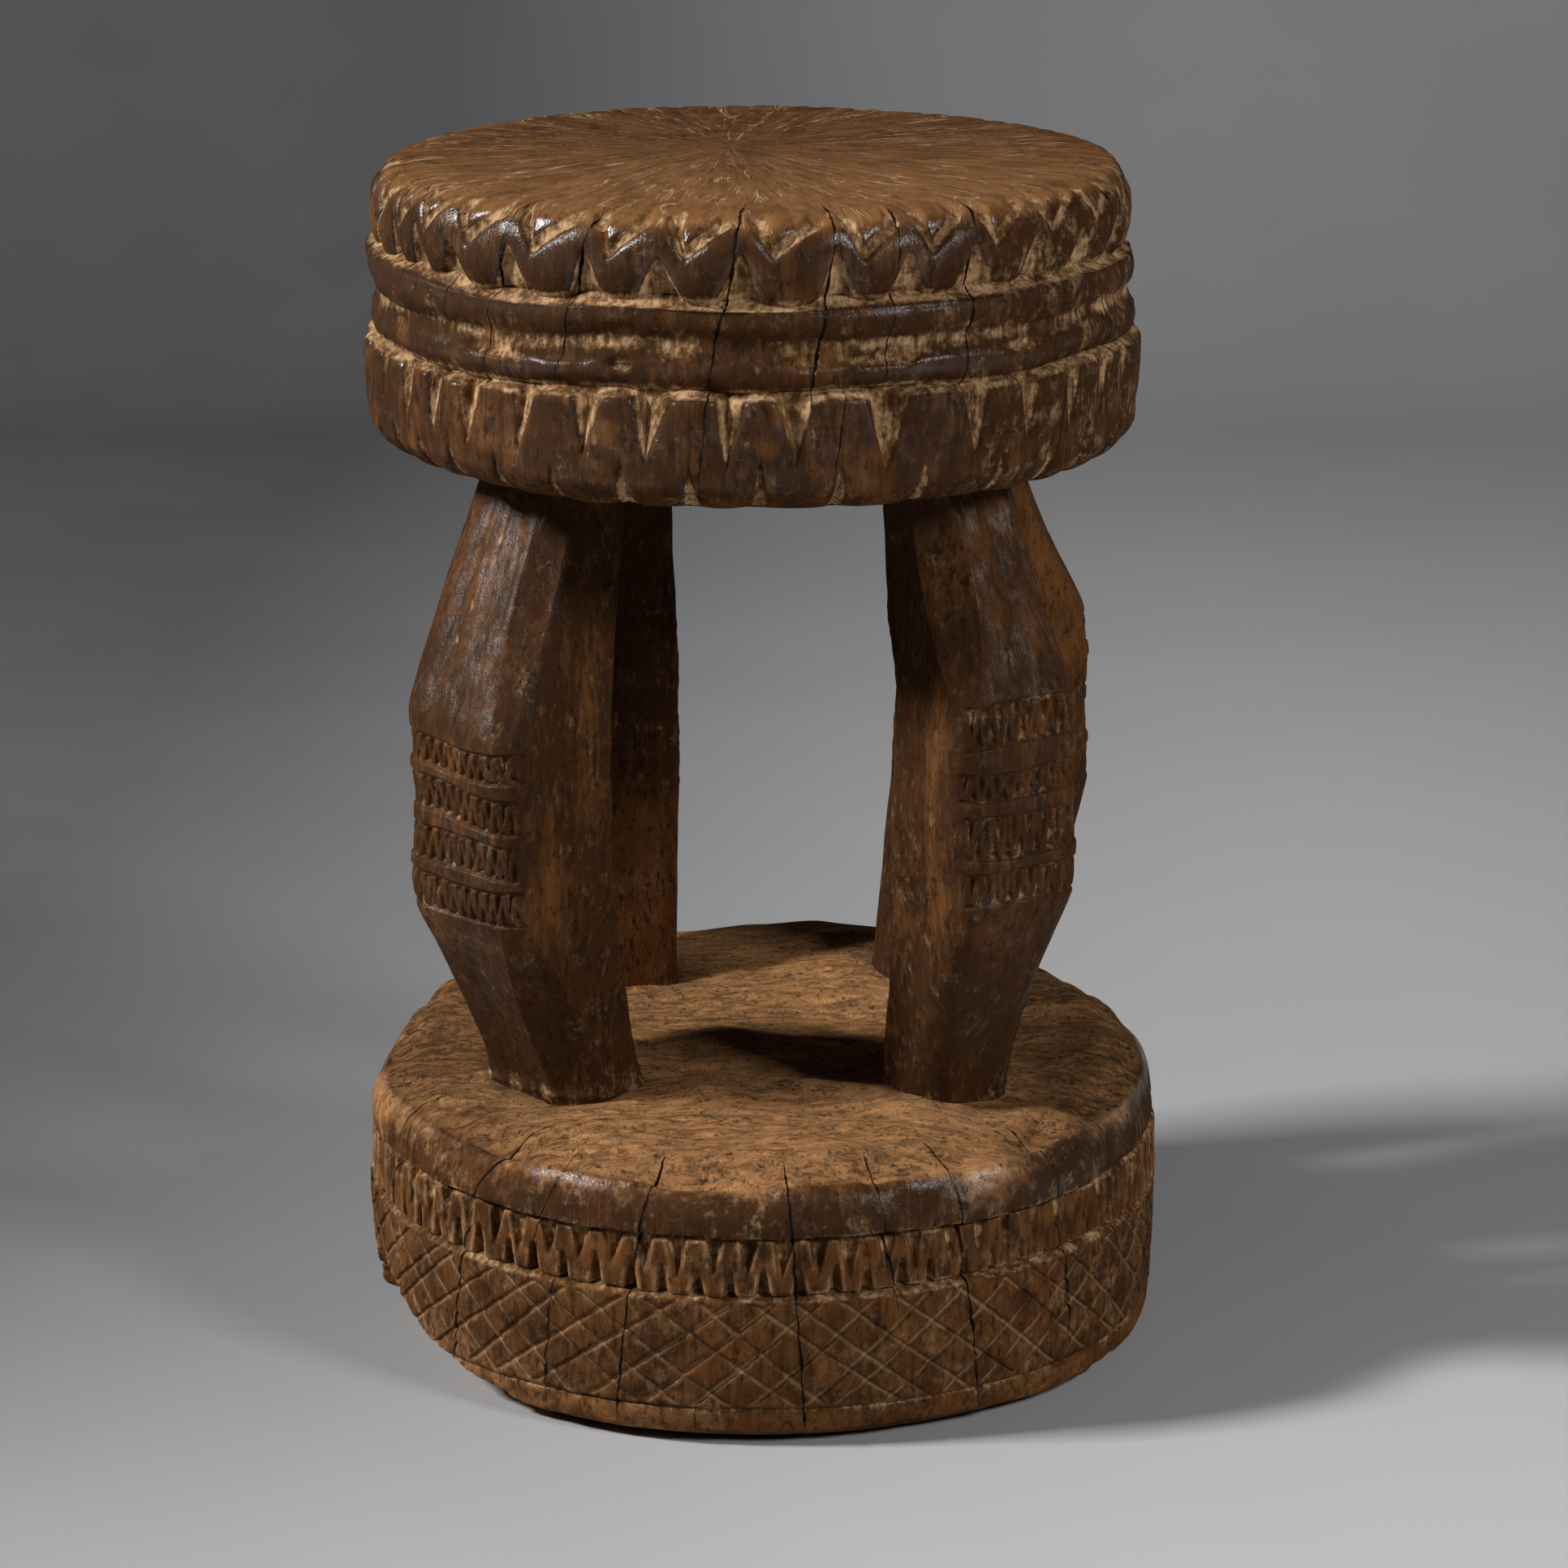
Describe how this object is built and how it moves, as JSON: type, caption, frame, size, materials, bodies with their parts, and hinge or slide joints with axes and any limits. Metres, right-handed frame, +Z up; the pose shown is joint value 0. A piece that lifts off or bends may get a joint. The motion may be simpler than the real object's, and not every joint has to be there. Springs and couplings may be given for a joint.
{
  "type": "carved wooden stool",
  "caption": "Round carved wooden stool: thick drum seat with chevron and toothed bands, bowed legs with carved knee panels, and a drum base with zigzag and cross-hatched bands",
  "frame": {"origin": "on the ground, under the middle of the base", "axes": "+Z up through the seat, -Y towards the front of the picture, +X to its right"},
  "size_m": [0.27, 0.27, 0.4],
  "materials": {
    "base_wood": "old hardwood, dusty and rough on top, worn dark on the carved rim",
    "seat_wood": "old hardwood, dark glossy patina on the raised carving, pale dust in the cuts",
    "leg_wood": "old hardwood, smooth and waxy, dark brown with warm worn areas"
  },
  "bodies": {
    "root": {"base": "base_wood", "seat": "seat_wood", "leg_front_left": "leg_wood", "leg_front_right": "leg_wood", "leg_back_right": "leg_wood", "leg_back_left": "leg_wood"}
  },
  "joints": []
}
